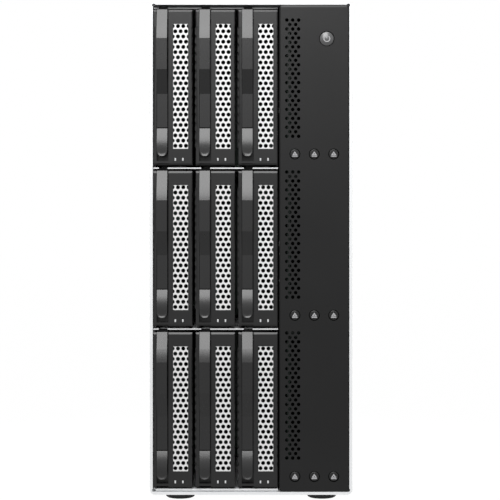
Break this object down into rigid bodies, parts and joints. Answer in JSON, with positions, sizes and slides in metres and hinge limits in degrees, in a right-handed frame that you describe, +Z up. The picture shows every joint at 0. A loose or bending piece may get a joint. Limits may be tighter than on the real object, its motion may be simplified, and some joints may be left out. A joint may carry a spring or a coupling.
{
  "type": "disk shelf enclosure",
  "caption": "Desktop tower disk enclosure with edge-standing hot-swap disk trays in rows, hinged tray handles, a vented side control panel and a wrap-around metal sleeve.",
  "frame": {"origin": "centre of the footprint, on the plane that the feet stand on", "axes": "+Z up, +X to the right of a person facing the front, front faces -Y"},
  "size_m": [0.1578, 0.248, 0.3896],
  "materials": {
    "sleeve_aluminium": "bead-blasted and clear anodised",
    "cage_steel": "galvanised sheet",
    "guide_plastic": "satin",
    "tray_plastic": "satin moulded",
    "grille_steel": "bright perforated sheet",
    "handle_plastic": "satin moulded",
    "panel_plastic": "satin moulded",
    "button_plastic": "semi-gloss",
    "rear_steel": "fine texture powder coat",
    "guard_steel": "powder coat",
    "fan_plastic": "satin moulded",
    "supply_steel": "zinc-plated sheet",
    "inlet_plastic": "satin",
    "circuit_board": "solder mask",
    "socket_plastic": "satin",
    "foot_rubber": "matt"
  },
  "bodies": {
    "chassis": {"outer_sleeve": "sleeve_aluminium", "drive_cage": "cage_steel", "guide_rails": "guide_plastic", "front_panel": "panel_plastic", "rear_panel": "rear_steel", "fan_frames": "fan_plastic", "fan_guards": "guard_steel", "power_supply": "supply_steel", "power_inlet": "inlet_plastic", "circuit_boards": "circuit_board", "board_parts": "socket_plastic", "feet": "foot_rubber"},
    "carrier_r1c1": {"tray_r1c1": "tray_plastic", "grille_r1c1": "grille_steel"},
    "handle_r1c1": {"handle_r1c1": "handle_plastic"},
    "latch_r1c1": {"latch_r1c1": "handle_plastic"},
    "eject_button_r1c1": {"eject_button_r1c1": "button_plastic"},
    "carrier_r1c2": {"tray_r1c2": "tray_plastic", "grille_r1c2": "grille_steel"},
    "handle_r1c2": {"handle_r1c2": "handle_plastic"},
    "latch_r1c2": {"latch_r1c2": "handle_plastic"},
    "eject_button_r1c2": {"eject_button_r1c2": "button_plastic"},
    "carrier_r1c3": {"tray_r1c3": "tray_plastic", "grille_r1c3": "grille_steel"},
    "handle_r1c3": {"handle_r1c3": "handle_plastic"},
    "latch_r1c3": {"latch_r1c3": "handle_plastic"},
    "eject_button_r1c3": {"eject_button_r1c3": "button_plastic"},
    "carrier_r2c1": {"tray_r2c1": "tray_plastic", "grille_r2c1": "grille_steel"},
    "handle_r2c1": {"handle_r2c1": "handle_plastic"},
    "latch_r2c1": {"latch_r2c1": "handle_plastic"},
    "eject_button_r2c1": {"eject_button_r2c1": "button_plastic"},
    "carrier_r2c2": {"tray_r2c2": "tray_plastic", "grille_r2c2": "grille_steel"},
    "handle_r2c2": {"handle_r2c2": "handle_plastic"},
    "latch_r2c2": {"latch_r2c2": "handle_plastic"},
    "eject_button_r2c2": {"eject_button_r2c2": "button_plastic"},
    "carrier_r2c3": {"tray_r2c3": "tray_plastic", "grille_r2c3": "grille_steel"},
    "handle_r2c3": {"handle_r2c3": "handle_plastic"},
    "latch_r2c3": {"latch_r2c3": "handle_plastic"},
    "eject_button_r2c3": {"eject_button_r2c3": "button_plastic"},
    "carrier_r3c1": {"tray_r3c1": "tray_plastic", "grille_r3c1": "grille_steel"},
    "handle_r3c1": {"handle_r3c1": "handle_plastic"},
    "latch_r3c1": {"latch_r3c1": "handle_plastic"},
    "eject_button_r3c1": {"eject_button_r3c1": "button_plastic"},
    "carrier_r3c2": {"tray_r3c2": "tray_plastic", "grille_r3c2": "grille_steel"},
    "handle_r3c2": {"handle_r3c2": "handle_plastic"},
    "latch_r3c2": {"latch_r3c2": "handle_plastic"},
    "eject_button_r3c2": {"eject_button_r3c2": "button_plastic"},
    "carrier_r3c3": {"tray_r3c3": "tray_plastic", "grille_r3c3": "grille_steel"},
    "handle_r3c3": {"handle_r3c3": "handle_plastic"},
    "latch_r3c3": {"latch_r3c3": "handle_plastic"},
    "eject_button_r3c3": {"eject_button_r3c3": "button_plastic"},
    "power_button": {"power_button": "button_plastic"},
    "fan_rotor_upper": {"fan_rotor_upper": "fan_plastic"},
    "fan_rotor_lower": {"fan_rotor_lower": "fan_plastic"}
  },
  "joints": [
    {"name": "tray_slide_r1c1", "type": "slide", "parent": "chassis", "child": "carrier_r1c1", "axis": [0, -1, 0], "range_m": [0, 0.17]},
    {"name": "handle_hinge_r1c1", "type": "hinge", "parent": "carrier_r1c1", "child": "handle_r1c1", "pos_m": [-0.0693, -0.1135, 0.3773], "axis": [-1, 0, 0], "range_deg": [0, 55]},
    {"name": "latch_slide_r1c1", "type": "slide", "parent": "carrier_r1c1", "child": "latch_r1c1", "axis": [0, 0, -1], "range_m": [0, 0.0024], "stiffness_N_per_m": 400, "springref_m": -0.001},
    {"name": "eject_press_r1c1", "type": "slide", "parent": "chassis", "child": "eject_button_r1c1", "axis": [0, 1, 0], "range_m": [0, 0.0012], "stiffness_N_per_m": 600, "springref_m": -0.0005},
    {"name": "tray_slide_r1c2", "type": "slide", "parent": "chassis", "child": "carrier_r1c2", "axis": [0, -1, 0], "range_m": [0, 0.17]},
    {"name": "handle_hinge_r1c2", "type": "hinge", "parent": "carrier_r1c2", "child": "handle_r1c2", "pos_m": [-0.03607, -0.1135, 0.3773], "axis": [-1, 0, 0], "range_deg": [0, 55]},
    {"name": "latch_slide_r1c2", "type": "slide", "parent": "carrier_r1c2", "child": "latch_r1c2", "axis": [0, 0, -1], "range_m": [0, 0.0024], "stiffness_N_per_m": 400, "springref_m": -0.001},
    {"name": "eject_press_r1c2", "type": "slide", "parent": "chassis", "child": "eject_button_r1c2", "axis": [0, 1, 0], "range_m": [0, 0.0012], "stiffness_N_per_m": 600, "springref_m": -0.0005},
    {"name": "tray_slide_r1c3", "type": "slide", "parent": "chassis", "child": "carrier_r1c3", "axis": [0, -1, 0], "range_m": [0, 0.17]},
    {"name": "handle_hinge_r1c3", "type": "hinge", "parent": "carrier_r1c3", "child": "handle_r1c3", "pos_m": [-0.00284, -0.1135, 0.3773], "axis": [-1, 0, 0], "range_deg": [0, 55]},
    {"name": "latch_slide_r1c3", "type": "slide", "parent": "carrier_r1c3", "child": "latch_r1c3", "axis": [0, 0, -1], "range_m": [0, 0.0024], "stiffness_N_per_m": 400, "springref_m": -0.001},
    {"name": "eject_press_r1c3", "type": "slide", "parent": "chassis", "child": "eject_button_r1c3", "axis": [0, 1, 0], "range_m": [0, 0.0012], "stiffness_N_per_m": 600, "springref_m": -0.0005},
    {"name": "tray_slide_r2c1", "type": "slide", "parent": "chassis", "child": "carrier_r2c1", "axis": [0, -1, 0], "range_m": [0, 0.17]},
    {"name": "handle_hinge_r2c1", "type": "hinge", "parent": "carrier_r2c1", "child": "handle_r2c1", "pos_m": [-0.0693, -0.1135, 0.2515], "axis": [-1, 0, 0], "range_deg": [0, 55]},
    {"name": "latch_slide_r2c1", "type": "slide", "parent": "carrier_r2c1", "child": "latch_r2c1", "axis": [0, 0, -1], "range_m": [0, 0.0024], "stiffness_N_per_m": 400, "springref_m": -0.001},
    {"name": "eject_press_r2c1", "type": "slide", "parent": "chassis", "child": "eject_button_r2c1", "axis": [0, 1, 0], "range_m": [0, 0.0012], "stiffness_N_per_m": 600, "springref_m": -0.0005},
    {"name": "tray_slide_r2c2", "type": "slide", "parent": "chassis", "child": "carrier_r2c2", "axis": [0, -1, 0], "range_m": [0, 0.17]},
    {"name": "handle_hinge_r2c2", "type": "hinge", "parent": "carrier_r2c2", "child": "handle_r2c2", "pos_m": [-0.03607, -0.1135, 0.2515], "axis": [-1, 0, 0], "range_deg": [0, 55]},
    {"name": "latch_slide_r2c2", "type": "slide", "parent": "carrier_r2c2", "child": "latch_r2c2", "axis": [0, 0, -1], "range_m": [0, 0.0024], "stiffness_N_per_m": 400, "springref_m": -0.001},
    {"name": "eject_press_r2c2", "type": "slide", "parent": "chassis", "child": "eject_button_r2c2", "axis": [0, 1, 0], "range_m": [0, 0.0012], "stiffness_N_per_m": 600, "springref_m": -0.0005},
    {"name": "tray_slide_r2c3", "type": "slide", "parent": "chassis", "child": "carrier_r2c3", "axis": [0, -1, 0], "range_m": [0, 0.17]},
    {"name": "handle_hinge_r2c3", "type": "hinge", "parent": "carrier_r2c3", "child": "handle_r2c3", "pos_m": [-0.00284, -0.1135, 0.2515], "axis": [-1, 0, 0], "range_deg": [0, 55]},
    {"name": "latch_slide_r2c3", "type": "slide", "parent": "carrier_r2c3", "child": "latch_r2c3", "axis": [0, 0, -1], "range_m": [0, 0.0024], "stiffness_N_per_m": 400, "springref_m": -0.001},
    {"name": "eject_press_r2c3", "type": "slide", "parent": "chassis", "child": "eject_button_r2c3", "axis": [0, 1, 0], "range_m": [0, 0.0012], "stiffness_N_per_m": 600, "springref_m": -0.0005},
    {"name": "tray_slide_r3c1", "type": "slide", "parent": "chassis", "child": "carrier_r3c1", "axis": [0, -1, 0], "range_m": [0, 0.17]},
    {"name": "handle_hinge_r3c1", "type": "hinge", "parent": "carrier_r3c1", "child": "handle_r3c1", "pos_m": [-0.0693, -0.1135, 0.1257], "axis": [-1, 0, 0], "range_deg": [0, 55]},
    {"name": "latch_slide_r3c1", "type": "slide", "parent": "carrier_r3c1", "child": "latch_r3c1", "axis": [0, 0, -1], "range_m": [0, 0.0024], "stiffness_N_per_m": 400, "springref_m": -0.001},
    {"name": "eject_press_r3c1", "type": "slide", "parent": "chassis", "child": "eject_button_r3c1", "axis": [0, 1, 0], "range_m": [0, 0.0012], "stiffness_N_per_m": 600, "springref_m": -0.0005},
    {"name": "tray_slide_r3c2", "type": "slide", "parent": "chassis", "child": "carrier_r3c2", "axis": [0, -1, 0], "range_m": [0, 0.17]},
    {"name": "handle_hinge_r3c2", "type": "hinge", "parent": "carrier_r3c2", "child": "handle_r3c2", "pos_m": [-0.03607, -0.1135, 0.1257], "axis": [-1, 0, 0], "range_deg": [0, 55]},
    {"name": "latch_slide_r3c2", "type": "slide", "parent": "carrier_r3c2", "child": "latch_r3c2", "axis": [0, 0, -1], "range_m": [0, 0.0024], "stiffness_N_per_m": 400, "springref_m": -0.001},
    {"name": "eject_press_r3c2", "type": "slide", "parent": "chassis", "child": "eject_button_r3c2", "axis": [0, 1, 0], "range_m": [0, 0.0012], "stiffness_N_per_m": 600, "springref_m": -0.0005},
    {"name": "tray_slide_r3c3", "type": "slide", "parent": "chassis", "child": "carrier_r3c3", "axis": [0, -1, 0], "range_m": [0, 0.17]},
    {"name": "handle_hinge_r3c3", "type": "hinge", "parent": "carrier_r3c3", "child": "handle_r3c3", "pos_m": [-0.00284, -0.1135, 0.1257], "axis": [-1, 0, 0], "range_deg": [0, 55]},
    {"name": "latch_slide_r3c3", "type": "slide", "parent": "carrier_r3c3", "child": "latch_r3c3", "axis": [0, 0, -1], "range_m": [0, 0.0024], "stiffness_N_per_m": 400, "springref_m": -0.001},
    {"name": "eject_press_r3c3", "type": "slide", "parent": "chassis", "child": "eject_button_r3c3", "axis": [0, 1, 0], "range_m": [0, 0.0012], "stiffness_N_per_m": 600, "springref_m": -0.0005},
    {"name": "power_press", "type": "slide", "parent": "chassis", "child": "power_button", "axis": [0, 1, 0], "range_m": [0, 0.0012], "stiffness_N_per_m": 600, "springref_m": -0.0005},
    {"name": "fan_spin_upper", "type": "hinge", "parent": "chassis", "child": "fan_rotor_upper", "pos_m": [-0.015, 0.1068, 0.316], "axis": [0, 1, 0], "continuous": true},
    {"name": "fan_spin_lower", "type": "hinge", "parent": "chassis", "child": "fan_rotor_lower", "pos_m": [-0.015, 0.1068, 0.19], "axis": [0, 1, 0], "continuous": true}
  ]
}
